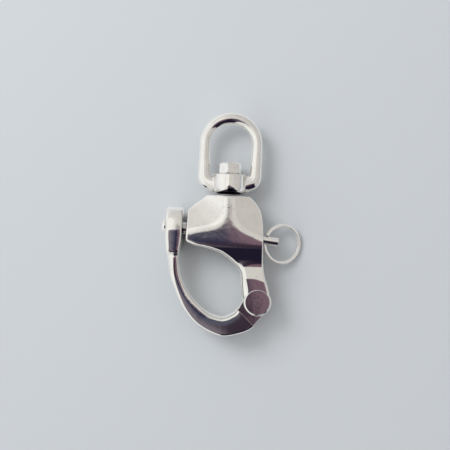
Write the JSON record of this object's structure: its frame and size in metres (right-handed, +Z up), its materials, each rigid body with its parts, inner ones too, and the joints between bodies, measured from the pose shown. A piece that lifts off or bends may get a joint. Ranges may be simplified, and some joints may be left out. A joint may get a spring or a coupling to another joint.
{
  "type": "swivel snap shackle",
  "caption": "Polished steel swivel snap shackle: a hinged bow jaw locked by a sprung plunger with a pull ring, and a round bail turning on a bolt.",
  "frame": {"origin": "where the swivel axis crosses the plunger axis as seen from above, on the milled flat of the body that the shackle lies on", "axes": "+Y along the swivel axis towards the bail, +X towards the pull ring, +Z up from the flat that it lies on"},
  "size_m": [0.055, 0.0866, 0.013],
  "materials": {
    "cast_steel": "mirror-polished investment casting",
    "turned_steel": "turned and polished",
    "spring_steel": "bright drawn wire",
    "ring_steel": "bright rolled wire"
  },
  "bodies": {
    "body": {"body": "cast_steel", "hinge_pin": "turned_steel", "plunger_spring": "spring_steel", "swivel_bolt": "turned_steel", "swivel_lock_pin": "turned_steel"},
    "jaw": {"jaw": "cast_steel"},
    "plunger": {"plunger": "turned_steel"},
    "pull_ring": {"split_ring": "ring_steel"},
    "bail": {"bail": "cast_steel"}
  },
  "joints": [
    {"name": "jaw_hinge", "type": "hinge", "parent": "body", "child": "jaw", "pos_m": [0.0127, -0.0255, 0.0065], "axis": [0, 0, 1], "range_deg": [0, 105]},
    {"name": "plunger_slide", "type": "slide", "parent": "body", "child": "plunger", "axis": [0.9945, -0.1045, 0], "range_m": [0, 0.0098], "stiffness_N_per_m": 300, "springref_m": -0.006, "deforming": ["plunger_spring"]},
    {"name": "ring_swing", "type": "hinge", "parent": "plunger", "child": "pull_ring", "pos_m": [0.01502, -0.00158, 0.0065], "axis": [0.1045, 0.9945, 0], "range_deg": [-95, 50]},
    {"name": "bail_swivel", "type": "hinge", "parent": "body", "child": "bail", "pos_m": [0, 0.0201, 0.0065], "axis": [0, 1, 0], "continuous": true}
  ]
}
